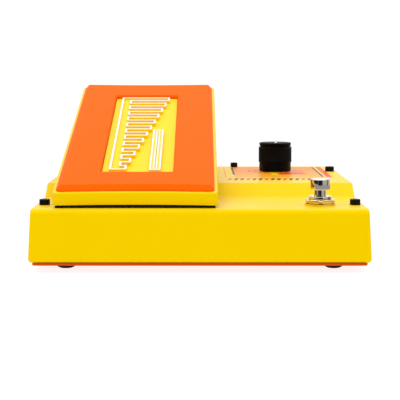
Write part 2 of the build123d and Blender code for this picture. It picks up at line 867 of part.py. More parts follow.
def footswitch_spring():
    """Return spring under the stem, as a coil of round wire."""
    low = collar_top - stem_insertion - switch_travel - spring_space + spring_wire + free_gap / 4
    height = switch_travel + spring_space - 2 * spring_wire - free_gap / 2
    coil = Helix(height / spring_turns, height, spring_radius)
    wire = sweep(Plane(origin=coil @ 0, z_dir=coil % 0) * Circle(spring_wire), path=coil, is_frenet=True)
    return at_switch(low, wire)


def footswitch_terminals():
    """Solder lugs in three rows under the switch case."""
    level = deck_height - case_wall - switch_case[2] - terminal_size[2]
    lug = block(terminal_size)
    steps = (-terminal_pitch, 0, terminal_pitch)
    return [at_switch(level, Pos(x, y, 0) * lug) for x in steps for y in steps]


# Selector -------------------------------------------------------------------------------------------

def at_knob(z, shape):
    return Pos(knob_x, knob_y, z) * shape


def selector_top():
    return panel_height + selector_washer_height + selector_nut_height + 0.3


def selector_body():
    """Rotary selector under the panel with a threaded neck through it."""
    ceiling = panel_height - case_wall
    body = at_knob(ceiling - selector_case[2], block(selector_case))
    body += at_knob(ceiling, rod(selector_neck_radius, selector_top() - ceiling))
    floor = ceiling - selector_case[2] + 2
    return body - at_knob(floor, rod(selector_shaft_radius + running_gap, selector_top() - floor))


def selector_washer():
    inner = selector_neck_radius + thread_gap
    return at_knob(panel_height, ring(selector_washer_radius, inner, selector_washer_height))


def selector_nut():
    nut = hex_nut(selector_nut_width, selector_neck_radius + thread_gap, selector_nut_height)
    return at_knob(panel_height + selector_washer_height, nut)


def selector_shaft():
    floor = panel_height - case_wall - selector_case[2] + 2 + free_gap
    top = knob_base + skirt_height + grip_height - free_gap
    return at_knob(floor, rod(selector_shaft_radius, top - floor))


def knob_skirt():
    return at_knob(knob_base, ring(skirt_radius, skirt_radius - skirt_wall, skirt_height))


def knob_grip():
    """Fluted grip with a web that closes the skirt above the nut."""
    grip = rod(grip_radius, grip_height)
    grip = chamfer(grip.edges(), 0.35)
    for index in range(flute_count):
        angle = 2 * pi * index / flute_count
        x, y = grip_radius * cos(angle), grip_radius * sin(angle)
        grip -= Pos(x, y, 0.9) * rod(flute_radius, grip_height - 1.8)
    grip -= rod(insert_radius + snug_gap, grip_height)
    hole = Pos(0, 0, grip_height / 2) * Rot(0, 90, 0) * rod(1.5 + thread_gap, grip_radius + 2)
    return at_knob(knob_base + skirt_height, grip - hole)


def knob_insert():
    """Brass bush between the grip and the shaft."""
    insert = ring(insert_radius, selector_shaft_radius + snug_gap, grip_height)
    hole = Pos(0, 0, grip_height / 2) * Rot(0, 90, 0) * rod(1.5 + thread_gap, grip_radius + 2)
    return at_knob(knob_base + skirt_height, insert - hole)


def knob_set_screw():
    start = selector_shaft_radius + snug_gap + 0.05
    screw = Pos(start, 0, 0) * Rot(0, 90, 0) * rod(1.5, grip_radius - 1.6 - start)
    return at_knob(knob_base + skirt_height + grip_height / 2, screw)


def knob_cap():
    cap = rod(cap_radius, cap_height)
    cap = chamfer(cap.edges().group_by(Axis.Z)[-1], cap_bevel)
    return at_knob(knob_base + skirt_height + grip_height, cap)


def knob_pointer():
    """Printed pointer line on the cap, towards the front."""
    width, length, height = pointer
    y = cap_bevel + length / 2 - cap_radius + 0.3
    return at_knob(knob_base + skirt_height + grip_height + cap_height, Pos(0, y, 0) * block(pointer))


# Jacks and board ------------------------------------------------------------------------------------

def at_rear(x, shape):
    """Places a piece drawn along +Z so that it runs out through the rear wall from its outer face."""
    return Pos(x, rear_y, jack_z) * Rot(-90, 0, 0) * shape


def jack(x):
    """Closed quarter-inch jack with a threaded neck through the rear wall."""
    width, length, height = jack_case
    body = Pos(0, 0, -case_wall - length) * block((width, height, length))
    neck = Pos(0, 0, -case_wall) * rod(jack_neck_radius, jack_neck_length)
    mouth = jack_neck_length - case_wall
    bore = Pos(0, 0, mouth - jack_bore_length) * rod(jack_bore_radius, jack_bore_length)
    return at_rear(x, body + neck - bore)


def input_jack():
    return jack(jack_offsets[1])


def output_jack():
    return jack(jack_offsets[0])


def jack_washers():
    washer = ring(jack_washer_radius, jack_neck_radius + thread_gap, jack_washer_height)
    return [at_rear(x, washer) for x in jack_offsets]


def jack_nuts():
    nut = hex_nut(jack_nut_width, jack_neck_radius + thread_gap, jack_nut_height)
    return [at_rear(x, Pos(0, 0, jack_washer_height) * nut) for x in jack_offsets]


def power_jack():
    """Round low-voltage inlet with a centre pin."""
    body = Pos(0, 0, -power_length) * rod(power_radius, power_length)
    body += rod(power_flange_radius, power_flange)
    depth = power_length + power_flange - 3
    cavity = Pos(0, 0, power_flange - depth) * rod(power_bore_radius, depth)
    pin = Pos(0, 0, power_flange - depth) * rod(power_pin_radius, depth - 1)
    return at_rear(power_x, body - cavity + pin)


def board_places():
    x, y = board_centre
    spacing = (board[0] - 2 * board_hole_inset, board[1] - 2 * board_hole_inset)
    return [(x + i, y + j) for i, j in grid(spacing)]


def main_circuit_board():
    plate = Pos(*board_centre, plate_top + board_lift) * block(board)
    for x, y in board_places():
        plate -= Pos(x, y, plate_top + board_lift - 1) * rod(m25_radius + thread_gap, 5)
    return plate


def board_standoffs():
    """Riveted standoffs on the bottom plate."""
    standoff = ring(board_standoff_radius, m25_radius + thread_gap, board_lift)
    return [Pos(x, y, plate_top) * standoff for x, y in board_places()]


def board_screws():
    screw = cap_screw(m25_radius, m25_head_radius, 1.8, m25_socket, board_lift + board[2] - 1)
    level = plate_top + board_lift + board[2]
    return [Pos(x, y, level) * screw for x, y in board_places()]


def board_components():
    """Processor, memory and a row of capacitors on the board."""
    level = plate_top + board_lift + board[2]
    x, y = board_centre
    chip = block(board_chip)
    pieces = [Pos(x - 10, y - 10, level) * chip, Pos(x + 14, y - 12, level) * chip]
    can = rod(board_capacitor_radius, board_capacitor_height)
    for index in range(4):
        pieces.append(Pos(x - 22 + 12 * index, y - 32, level) * can)
    return pieces


nodes = [
    top_housing, side_walls, bottom_plate, rubber_feet, corner_pillars, housing_cap_screws, bottom_plate_screws,
    rear_pillar, rear_cap_screw, heel_stop_pad, toe_stop_pads,
    treadle_tray, treadle_pad, badge_plate, badge_emblem, emblem_trim, treadle_hinge_frame,
    hinge_frame_screws, sector_screws, pivot_shaft, shaft_clips, gear_sector,
    pinion_gear, pinion_set_screw, sensor_shaft, sensor_body, sensor_nut, sensor_bracket,
    sensor_bracket_screws, pivot_base_plate, pivot_lugs, pivot_bushes, bracket_screws, bracket_nuts,
    footswitch_body, footswitch_washer, footswitch_nut, footswitch_stem, footswitch_button,
    footswitch_spring, footswitch_terminals,
    selector_body, selector_washer, selector_nut, selector_shaft, knob_skirt, knob_grip, knob_insert,
    knob_set_screw, knob_cap, knob_pointer,
    input_jack, output_jack, jack_washers, jack_nuts, power_jack,
    main_circuit_board, board_standoffs, board_screws, board_components,
]


def main():
    shapes = {}
    for make in nodes:
        made = make()
        pieces = made if isinstance(made, list) else [made]
        solids = [solid for piece in pieces for solid in piece.solids()]
        shapes[make.__name__] = Compound(solids)
    box = Compound(list(shapes.values())).bounding_box()
    middle = box.center()
    home = Pos(-middle.X, -middle.Y, -box.min.Z)
    os.makedirs("parts", exist_ok=True)
    for name, shape in shapes.items():
        export_step(home * shape, f"parts/{name}.step")
    print("origin moved by", -middle.X, -middle.Y, -box.min.Z)


if __name__ == "__main__":
    main()
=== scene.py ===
import math

import bmesh
import bpy
import numpy as np
from mathutils import Matrix, Vector


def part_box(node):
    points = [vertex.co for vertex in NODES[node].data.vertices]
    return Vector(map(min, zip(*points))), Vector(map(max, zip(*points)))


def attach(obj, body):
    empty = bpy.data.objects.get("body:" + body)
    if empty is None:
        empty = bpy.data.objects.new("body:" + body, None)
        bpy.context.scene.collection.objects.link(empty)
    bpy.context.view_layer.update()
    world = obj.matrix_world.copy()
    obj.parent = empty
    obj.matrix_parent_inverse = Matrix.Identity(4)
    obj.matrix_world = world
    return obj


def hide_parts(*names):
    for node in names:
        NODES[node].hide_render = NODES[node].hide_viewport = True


bl_info = {
    "name": "Treadle Pedal Looks",
    "version": (1, 0, 0),
    "blender": (4, 5, 0),
    "location": "View3D > Sidebar > Pedal",
    "description": "Finishes, tread pad, badge, knob and switch details for a treadle pedal",
    "category": "Object",
}

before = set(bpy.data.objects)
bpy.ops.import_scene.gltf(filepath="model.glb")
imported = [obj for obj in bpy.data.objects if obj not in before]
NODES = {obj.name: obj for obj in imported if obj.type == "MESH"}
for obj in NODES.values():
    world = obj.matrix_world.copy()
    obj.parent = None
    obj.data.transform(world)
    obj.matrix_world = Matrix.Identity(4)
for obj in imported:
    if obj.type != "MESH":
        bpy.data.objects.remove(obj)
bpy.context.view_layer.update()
MM = 0.001


# Places read from the frame -------------------------------------------------------------------------

def centre(node):
    """Middle of a CAD node's box."""
    low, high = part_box(node)
    return (low + high) / 2


def vertices(node):
    """Vertex places of a CAD node as an array of rows."""
    mesh = NODES[node].data
    places = np.empty(len(mesh.vertices) * 3)
    mesh.vertices.foreach_get("co", places)
    return places.reshape(-1, 3)


def treadle_tilt():
    """Angle of the tray at rest, from the direction of the badge plate's longest spread."""
    places = vertices("badge_plate")[:, 1:]
    spread = np.linalg.svd(places - places.mean(axis=0), full_matrices=False)[2][0]
    return math.atan(spread[1] / spread[0])


TILT = treadle_tilt()
TURN = Matrix.Rotation(TILT, 3, "X")


def level_box(node):
    """Lowest and highest corner of a treadle node in axes turned with the tray."""
    turned = vertices(node) @ np.array(TURN)
    return turned.min(axis=0), turned.max(axis=0)


# Shader expressions ---------------------------------------------------------------------------------

class Wire:
    """A shader socket that Python arithmetic turns into Math nodes."""

    def __init__(self, finish, socket):
        self.finish = finish
        self.socket = socket

    def math(self, operation, first, second=0.0, third=0.0, clamp=False):
        settings = {"operation": operation, "use_clamp": clamp}
        return self.finish.node("ShaderNodeMath", settings, {0: first, 1: second, 2: third})

    def __add__(self, other):
        return self.math("ADD", self, other)

    def __radd__(self, other):
        return self.math("ADD", other, self)

    def __sub__(self, other):
        return self.math("SUBTRACT", self, other)

    def __rsub__(self, other):
        return self.math("SUBTRACT", other, self)

    def __mul__(self, other):
        return self.math("MULTIPLY", self, other)

    def __rmul__(self, other):
        return self.math("MULTIPLY", other, self)

    def __truediv__(self, other):
        return self.math("DIVIDE", self, other)

    def __abs__(self):
        return self.math("ABSOLUTE", self)

    def floor(self):
        return self.math("FLOOR", self)

    def smaller(self, other):
        return self.math("MINIMUM", self, other)

    def larger(self, other):
        return self.math("MAXIMUM", self, other)

    def clamp(self):
        return self.math("ADD", self, 0.0, clamp=True)

    def root(self):
        return self.math("SQRT", self)

    def wrapped(self, step):
        """Distance from the nearest multiple of the step."""
        return abs(self - (self / step + 0.5).floor() * step)


class Finish:
    """One procedural material with a Principled surface."""

    def __init__(self, name, **constants):
        self.material = bpy.data.materials.new(name)
        self.material.use_nodes = True
        self.tree = self.material.node_tree
        self.tree.nodes.clear()
        self.surface = self.tree.nodes.new("ShaderNodeBsdfPrincipled")
        output = self.tree.nodes.new("ShaderNodeOutputMaterial")
        self.tree.links.new(self.surface.outputs[0], output.inputs[0])
        for socket, value in constants.items():
            self.set(socket.replace("_", " "), value)

    def node(self, kind, settings=None, values=None, output=0):
        """A node of any type, its settings first and then its sockets' values or links."""
        made = self.tree.nodes.new(kind)
        for key, value in (settings or {}).items():
            setattr(made, key, value)
        for key, value in (values or {}).items():
            self.plug(made.inputs[key], value)
        return Wire(self, made.outputs[output])

    def plug(self, socket, value):
        if isinstance(value, Wire):
            self.tree.links.new(value.socket, socket)
        elif socket.type == "RGBA":
            socket.default_value = tuple(value)[:3] + (1.0,)
        else:
            socket.default_value = value

    def set(self, socket, value):
        self.plug(self.surface.inputs[socket], value)

    def place(self):
        """Object coordinates in millimetres, as three wires."""
        coords = self.node("ShaderNodeTexCoord", output=3)
        split = self.tree.nodes.new("ShaderNodeSeparateXYZ")
        self.tree.links.new(coords.socket, split.inputs[0])
        return [Wire(self, split.outputs[axis]) * 1000.0 for axis in range(3)]

    def noise(self, scale, detail=3.0, roughness=0.5, stretch=None):
        """Fractal noise over Object coordinates, about 0.5; the scale is waves per metre."""
        vector = self.node("ShaderNodeTexCoord", output=3)
        if stretch:
            vector = self.node("ShaderNodeMapping", values={0: vector, 3: stretch})
        values = {"Vector": vector, "Scale": scale, "Detail": detail, "Roughness": roughness}
        return self.node("ShaderNodeTexNoise", values=values)

    def cells(self, scale):
        """Distance to the nearest of many scattered points."""
        vector = self.node("ShaderNodeTexCoord", output=3)
        return self.node("ShaderNodeTexVoronoi", values={"Vector": vector, "Scale": scale})

    def mix(self, factor, first, second):
        """Blend of two colours."""
        settings = {"data_type": "RGBA"}
        return self.node("ShaderNodeMix", settings, {0: factor, 6: first, 7: second}, output=2)

    def bump(self, height, distance, strength=1.0):
        values = {"Strength": strength, "Distance": distance, "Height": height}
        self.set("Normal", self.node("ShaderNodeBump", values=values))

    def window(self, wire, low, high, soft):
        """1 between two levels and 0 outside, with soft edges."""
        rise = ((wire - low) / soft).clamp()
        fall = ((high - wire) / soft).clamp()
        return rise.smaller(fall)


def dress(finish, *names):
    """Gives a finish to every material slot of the named CAD nodes."""
    for name in names:
        mesh = NODES[name].data
        if not mesh.materials:
            mesh.materials.append(finish.material)
        for index in range(len(mesh.materials)):
            mesh.materials[index] = finish.material


# Mesh surfaces --------------------------------------------------------------------------------------

def surface(name, grid, finish, body, close_rows=False, close_columns=True, smooth=True):
    """Mesh from a grid of points: neighbouring rows and columns are joined by quads, poles are merged."""
    rows, columns = grid.shape[:2]
    points = grid.reshape(-1, 3)
    index = np.arange(rows * columns).reshape(rows, columns)
    down = np.roll(index, -1, axis=0)
    right = np.roll(index, -1, axis=1)
    corner = np.roll(down, -1, axis=1)
    quads = np.stack([index, right, corner, down], axis=-1)
    quads = quads[: rows if close_rows else rows - 1, : columns if close_columns else columns - 1]
    mesh = bpy.data.meshes.new(name)
    mesh.from_pydata(points.tolist(), [], quads.reshape(-1, 4).tolist())
    shape = bmesh.new()
    shape.from_mesh(mesh)
    bmesh.ops.remove_doubles(shape, verts=shape.verts, dist=1e-7)
    bmesh.ops.dissolve_degenerate(shape, edges=shape.edges, dist=1e-8)
    bmesh.ops.recalc_face_normals(shape, faces=shape.faces)
    shape.to_mesh(mesh)
    shape.free()
    if smooth:
        mesh.shade_smooth()
    mesh.materials.append(finish.material)
    made = bpy.data.objects.new(name, mesh)
    bpy.context.scene.collection.objects.link(made)
    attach(made, body)
    return made


def lathe(profile, middle, segments=96):
    """Grid of a profile of radius and height turned about a vertical axis."""
    profile = np.array(profile, float)
    angle = np.linspace(0, 2 * np.pi, segments, endpoint=False)
    radius, height = profile[:, :1], profile[:, 1:]
    x = middle[0] + radius * np.cos(angle)
    y = middle[1] + radius * np.sin(angle)
    z = middle[2] + height + 0 * angle
    return np.stack([x, y, z], axis=-1)


def arc(cx, cy, radius, start, end, steps=5):
    """Points of a circular arc in the profile's plane, its angles in degrees."""
    turn = np.radians(np.linspace(start, end, steps))
    return np.stack([cx + radius * np.cos(turn), cy + radius * np.sin(turn)], axis=-1)


def rounded_plan(half_width, start, end, corner, across=14, along=44, turn=7):
    """Closed ring of points round a rectangle with rounded corners, the same count for any size."""
    x, r = half_width, corner
    low = np.stack([np.linspace(-x + r, x - r, across, endpoint=False), np.full(across, start)], axis=-1)
    right = np.stack([np.full(along, x), np.linspace(start + r, end - r, along, endpoint=False)], axis=-1)
    high = np.stack([np.linspace(x - r, -x + r, across, endpoint=False), np.full(across, end)], axis=-1)
    left = np.stack([np.full(along, -x), np.linspace(end - r, start + r, along, endpoint=False)], axis=-1)
    corners = [arc(x - r, start + r, r, -90, 0, turn)[:-1], arc(x - r, end - r, r, 0, 90, turn)[:-1],
               arc(-x + r, end - r, r, 90, 180, turn)[:-1], arc(-x + r, start + r, r, 180, 270, turn)[:-1]]
    return np.concatenate([low, corners[0], right, corners[1], high, corners[2], left, corners[3]])


def hollow_ends(ring, half_width, start, end, hollow):
    """Draws both ends of a plan ring inwards by a parabola across its width."""
    bow = hollow * (1 - (ring[:, 0] / half_width) ** 2)
    lean = 1 - 2 * (ring[:, 1] - start) / (end - start)
    return np.stack([ring[:, 0], ring[:, 1] + bow * lean], axis=-1)


def to_treadle(points):
    """Turns points from the tray's level axes back to the rest pose."""
    return points @ np.array(TURN).T


def moved(grid, shift):
    return grid + np.array(shift)


# Settings -------------------------------------------------------------------------------------------

def colour_setting(name, description, default):
    return bpy.props.FloatVectorProperty(name=name, description=description, default=default,
                                         subtype="COLOR", size=3, min=0, max=1)


def length_setting(name, description, default):
    return bpy.props.FloatProperty(name=name, description=description, default=default,
                                   unit="LENGTH", subtype="DISTANCE", precision=4)


class PedalPaint(bpy.types.PropertyGroup):
    yellow: colour_setting("Case yellow", "Powder coat of the case and the tray", (0.95, 0.635, 0.0))
    orange: colour_setting("Plate orange", "Powder coat of the bottom plate", (0.70, 0.075, 0.008))
    ink_orange: colour_setting("Orange ink", "Printed field round the knob", (0.90, 0.20, 0.01))
    ink_red: colour_setting("Red ink", "Printed stripe and marks", (0.80, 0.055, 0.01))
    ink_dark: colour_setting("Dark ink", "Printed lines and marks", (0.07, 0.008, 0.012))


class PedalPad(bpy.types.PropertyGroup):
    colour: colour_setting("Pad colour", "Moulded rubber of the tread pad", (0.98, 0.137, 0.003))
    bevel: length_setting("Bevel run", "Width of the bevel round the pad", 2.2 * MM)
    lip: length_setting("Lip", "Upright edge below the bevel", 0.5 * MM)
    rounding: length_setting("Edge rounding", "Radius of the pad's edges", 0.35 * MM)
    hollow: length_setting("End hollow", "How far the ends curve inwards", 1.3 * MM)
    corner: length_setting("Corner", "Radius of the pad's corners in plan", 2.6 * MM)
    window_corner: length_setting("Window corner", "Radius of the window's corners", 1.6 * MM)
    window_bevel: length_setting("Window bevel", "Bevel round the window", 0.7 * MM)


class PedalKnob(bpy.types.PropertyGroup):
    flutes: bpy.props.IntProperty(name="Flutes", description="Flutes round the grip", default=44, min=8)
    flute_depth: length_setting("Flute depth", "Depth of each flute", 0.35 * MM)
    dish: length_setting("Dish", "Depth of the hollow in the cap's top", 0.35 * MM)
    colour: colour_setting("Knob colour", "Moulded plastic of the knob", (0.002, 0.0018, 0.0015))


class PedalStage(bpy.types.PropertyGroup):
    distance: length_setting("Camera distance", "From the case's front wall to the camera", 641.0 * MM)
    height: length_setting("Camera height", "Camera above the floor", 101.7 * MM)
    aside: length_setting("Camera aside", "Camera to the right of the middle", 0.06 * MM)
    pitch: bpy.props.FloatProperty(name="Pitch", description="Camera's tilt below the horizon",
                                   default=math.radians(5.762), subtype="ANGLE")
    lens: bpy.props.FloatProperty(name="Lens", description="Focal length in millimetres", default=116.12)
    key_power: bpy.props.FloatProperty(name="Top light", description="Power of the overhead panel",
                                       default=4.6, unit="POWER")


# Finishes -------------------------------------------------------------------------------------------

def shaded(colour, share):
    """The same colour at a share of its strength."""
    return [share * part for part in colour]


def mottled(finish, colour):
    """Powder coat's even colour with a faint mottle."""
    return finish.mix(finish.noise(45.0, 3.0), shaded(colour, 0.955), colour)


def coat_relief(finish):
    """Powder coat's satin gloss and shallow orange-peel dimples."""
    dimple_scale, dimple_depth = 1400.0, 0.02 * MM
    finish.set("Roughness", 0.33 + 0.10 * finish.noise(300.0, 2.0))
    finish.bump(finish.noise(dimple_scale, 2.0), dimple_depth, 0.35)


def powder_coat(name, colour):
    """Coated sheet: even colour with faint mottle, orange-peel dimples and satin gloss."""
    finish = Finish(name, IOR=1.45, Specular_IOR_Level=0.4, Specular_Tint=colour)
    finish.set("Base Color", mottled(finish, colour))
    coat_relief(finish)
    return finish


# Printed panel, in millimetres from the knob's axis: left, right, front and rear of each area.
FIELD = (-26.0, 25.6, -56.0, 34.0)
HAZARD_BAND = (-26.0, 25.6, -51.0, -46.0)
SIDE_LINES = ((-26.8, -25.4, -28.0, 28.0), (24.9, 26.4, -43.0, 32.0))
STRIPE = (27.6, 31.0, -45.0, 34.0)
OUTLINE = ((-31.6, -31.0, -46.0, 32.0), (-31.6, -26.8, -46.6, -46.0))
WEDGE = (-3.4, 0.4, -30.0, -11.0)
BLOCK = (1.2, 17.0, -26.0, -12.0)
MARK_ROW = (-31.0, 24.0, -66.0, -54.0)
MARK_PITCH = 3.5
EDGE_SOFTNESS = 0.12


def printed_case(paint):
    """The case's powder coat with the printed panel round the knob."""
    finish = Finish("yellow_case_paint", IOR=1.45, Specular_IOR_Level=0.3, Specular_Tint=paint.yellow)
    x, y, z = finish.place()
    knob = centre("knob_cap") / MM
    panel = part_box("pivot_base_plate")[0].z / MM
    u = x - knob.x
    v = y - knob.y
    top = ((z - (panel - 0.25)) / 0.1).clamp()
    colour = mottled(finish, paint.yellow)

    def area(left, right, front, rear):
        across = finish.window(u, left, right, EDGE_SOFTNESS)
        return across.smaller(finish.window(v, front, rear, EDGE_SOFTNESS))

    def ink(mask, shade):
        return finish.mix(mask * top, colour, shade)

    colour = ink(area(*FIELD), paint.ink_orange)
    fade = ((v - FIELD[2]) / (FIELD[3] - FIELD[2])).clamp()
    colour = ink(area(*FIELD) * (1.0 - fade) * 0.55, paint.yellow)
    slants = (u + v * 0.6).wrapped(7.0)
    colour = ink(area(*HAZARD_BAND) * ((1.6 - slants) / 0.2).clamp(), paint.yellow)
    for line in SIDE_LINES:
        colour = ink(area(*line), paint.ink_dark)
    colour = ink(area(*STRIPE), paint.ink_red)
    upright, foot = OUTLINE
    colour = ink(area(*upright).larger(area(*foot)) * 0.8, paint.ink_red)
    colour = ink(area(*WEDGE), paint.yellow)
    colour = ink(area(*BLOCK), paint.ink_red)
    colour = ink(dial(finish, u, v), paint.ink_dark)
    strokes, tone = marks(finish, u, v, paint)
    colour = ink(area(*MARK_ROW) * strokes, tone)
    finish.set("Base Color", colour)
    coat_relief(finish)
    return finish


def dial(finish, u, v):
    """Mask of the knob's scale: a tick every thirty degrees, and a thin ring round them."""
    radius = (u * u + v * v).root()
    angle = finish.node("ShaderNodeMath", {"operation": "ARCTAN2"}, {0: v, 1: u})
    spoke = angle.wrapped(math.radians(30.0)) * radius
    ticks = finish.window(radius, 12.0, 15.0, 0.15) * ((0.75 - spoke) / 0.12).clamp()
    return ticks.larger(finish.window(radius, 16.4, 17.0, 0.15))


def marks(finish, u, v, paint):
    """Mask and colour of the row of leaning strokes under one line: a red one and then two dark ones."""
    left, _, front, rear = MARK_ROW
    row = (u - left) / MARK_PITCH
    lean = row - row.floor() - (v - front) / 30.0
    line = finish.window(v, rear - 1.0, rear, EDGE_SOFTNESS)
    strokes = finish.window(lean, 0.02, 0.60, 0.06).larger(line)
    third = row.floor() / 3.0
    dark = ((third - third.floor()) * 3.0).clamp()
    return strokes, finish.mix(dark, paint.ink_red, paint.ink_dark)


def moulded_rubber(name, colour, gloss=0.42):
    """Moulded rubber: fine matt grain under a soft sheen."""
    finish = Finish(name, IOR=1.5, Specular_IOR_Level=0.02, Specular_Tint=colour)
    finish.set("Base Color", finish.mix(finish.noise(60.0, 4.0), shaded(colour, 0.94), colour))
    finish.set("Roughness", gloss + 0.14 * finish.noise(700.0, 3.0))
    finish.bump(finish.noise(2600.0, 3.0), 0.03 * MM, 0.4)
    return finish


def moulded_plastic(name, colour, gloss=0.28, gleam=0.4):
    """Moulded plastic: near-even colour, faint flow marks and a soft gloss."""
    finish = Finish(name, IOR=1.5, Specular_IOR_Level=gleam, Specular_Tint=colour)
    pale = [min(1.0, part + 0.01) for part in colour]
    finish.set("Base Color", finish.mix(finish.noise(120.0, 3.0), colour, pale))
    finish.set("Roughness", gloss + 0.12 * finish.noise(260.0, 3.0, stretch=(1, 1, 3)))
    finish.bump(finish.noise(1800.0, 2.0), 0.01 * MM, 0.3)
    return finish


def plated_metal(name, colour, gloss=0.12, brushed=0.0):
    """Plated or turned metal: faint cloudy tone and hairlines."""
    finish = Finish(name, Metallic=1.0)
    finish.set("Base Color", finish.mix(finish.noise(90.0, 4.0), shaded(colour, 0.9), colour))
    lines = finish.noise(500.0, 4.0, stretch=(1, 1, 14))
    finish.set("Roughness", gloss + (0.05 + brushed) * lines)
    finish.bump(lines, (0.008 + 0.02 * brushed) * MM, 0.3)
    return finish


def enamel(name, colour):
    """Printed enamel: bright, with a gritty worn speckle."""
    finish = Finish(name, IOR=1.5, Specular_IOR_Level=0.4)
    grit = ((finish.noise(2200.0, 4.0, 0.7) - 0.56) * 8.0).clamp()
    finish.set("Base Color", finish.mix(grit, colour, shaded(colour, 0.78)))
    finish.set("Roughness", 0.35 + 0.3 * grit)
    finish.bump(grit, 0.02 * MM, 0.4)
    return finish


def circuit_finish():
    """Solder mask with a fine pattern of tracks and pads."""
    finish = Finish("board_mask", IOR=1.5)
    x = finish.place()[0]
    tracks = ((0.22 - x.wrapped(1.9)) / 0.05).clamp() * ((finish.noise(90.0, 1.0) - 0.5) * 9.0).clamp()
    pads = ((0.45 - finish.cells(260.0) * 1.2) / 0.1).clamp()
    green = finish.mix(tracks, (0.02, 0.16, 0.06), (0.05, 0.30, 0.11))
    finish.set("Base Color", finish.mix(pads * 0.5, green, (0.70, 0.62, 0.35)))
    finish.set("Roughness", 0.35 + 0.2 * tracks)
    finish.bump(tracks, 0.03 * MM, 0.5)
    return finish


# Pieces ---------------------------------------------------------------------------------------------

def edge_profile(settings, height):
    """Pad edge from its foot to its top: lip, bevel and rounded breaks, as inset and height."""
    r = settings.rounding
    slope = math.degrees(math.atan2(height - settings.lip, settings.bevel))
    foot = arc(r, settings.lip, r, 180, 180 - (90 - slope), 4)
    crest = arc(settings.bevel + 0.4 * r, height - r, r, 90 + slope, 90, 4)
    return np.concatenate([[(0.0, 0.0)], foot, crest])


def make_pad(settings):
    """Ring-shaped pad: its edge profile is carried round the outer plan and round the window.
    Each ring is the plan drawn inwards by the profile's inset and lifted by its height; between the
    two edges the rings are blended in straight steps, and all ends are bowed by one parabola."""
    low, high = level_box("treadle_pad")
    rim_low, rim_high = level_box("badge_plate")
    half = (high[0] - low[0]) / 2
    mid_x = (high[0] + low[0]) / 2
    floor, height = low[2], high[2] - low[2]
    gap = 0.25 * MM
    inner_half = (rim_high[0] - rim_low[0]) / 2 + gap
    inner_ends = (rim_low[1] - gap, rim_high[1] + gap)

    def outer(inset, level):
        ring = rounded_plan(half - inset, low[1] + inset, high[1] - inset,
                            max(settings.corner - inset, 0.15 * MM))
        ring = hollow_ends(ring, half, low[1], high[1], settings.hollow)
        return np.column_stack([ring, np.full(len(ring), level)])

    def inner(spread, level):
        ring = rounded_plan(inner_half + spread, inner_ends[0] - spread, inner_ends[1] + spread,
                            settings.window_corner + spread)
        return np.column_stack([ring, np.full(len(ring), level)])

    rings = [outer(inset, level) for inset, level in edge_profile(settings, height)]
    bevel = settings.window_bevel
    last, first = rings[-1], inner(bevel + settings.rounding, height)
    rings += [last + (first - last) * step for step in np.linspace(0, 1, 9)[1:]]
    rings += [inner(bevel * 0.75, height - 0.06 * MM), inner(0.1 * MM, height - bevel),
              inner(0.0, height - bevel - 0.15 * MM), inner(0.0, 0.0)]
    grid = np.stack(rings)
    grid = to_treadle(moved(grid, (mid_x, 0, floor)))
    rubber = moulded_rubber("orange_pad_rubber", settings.colour, 0.38)
    pad = surface("tread_pad", grid, rubber, "treadle", close_rows=True)
    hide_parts("treadle_pad")


def raised_bar(half_width, start, end, corner, inset, low, high):
    """Flat-topped bar or hoop as rings of one plan: up its outside, over a small edge break and in along
    its top, and, for a hoop, down its inner side."""
    def ring(shrink, level):
        rounding = max(corner - shrink, 0.05 * MM)
        plan = rounded_plan(half_width - shrink, start + shrink, end - shrink, rounding)
        return np.column_stack([plan, np.full(len(plan), level)])

    crumb = 0.08 * MM
    return np.stack([ring(0, low), ring(0, high - crumb), ring(crumb, high), ring(inset - crumb, high),
                     ring(inset, high - crumb), ring(inset, low)])


def make_fader(white, plastic):
    """Raised track beside the ramp of bars: a round-ended bar with two nested enamel hoops on its top."""
    plate_high = level_box("badge_plate")[1]
    bars_low, bars_high = level_box("badge_emblem")
    hoop_top = level_box("emblem_trim")[1][2]
    half, length = 3.1 * MM, 69.0 * MM
    from_plate_side, past_bars = 9.6 * MM, 1.0 * MM
    sunk, hoop_sunk = 0.1 * MM, 0.05 * MM
    start = bars_low[1] - past_bars
    end = start + length
    top = bars_high[2]
    shift = (plate_high[0] - from_plate_side, 0, 0)
    body = raised_bar(half, start, end, 1.2 * MM, half * 0.98, plate_high[2] - sunk, top)
    surface("fader_track", to_treadle(moved(body, shift)), plastic, "treadle",
            close_rows=True)
    hoops = (("fader_outline", 0.1 * MM, 0.95 * MM), ("fader_centre", 2.0 * MM, 0.75 * MM))
    for name, inset, width in hoops:
        hoop = raised_bar(half - inset, start + inset, end - inset, 1.1 * MM, width,
                          top - hoop_sunk, hoop_top)
        surface(name, to_treadle(moved(hoop, shift)), white, "treadle", close_rows=True)


KNOB_SEGMENTS = 128


def round_size(node):
    """Radius, height and foot of a CAD node that is round about an upright axis."""
    low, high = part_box(node)
    middle = centre(node)
    return (high.x - low.x) / 2, high.z - low.z, (middle.x, middle.y, low.z)


def make_knob(settings):
    """Knob in three turned pieces on one axis: grip, cap and skirt."""
    plastic = moulded_plastic("knob_plastic", settings.colour, 0.30, 0.12)
    make_grip(settings, plastic)
    make_cap(settings)
    make_skirt(plastic)


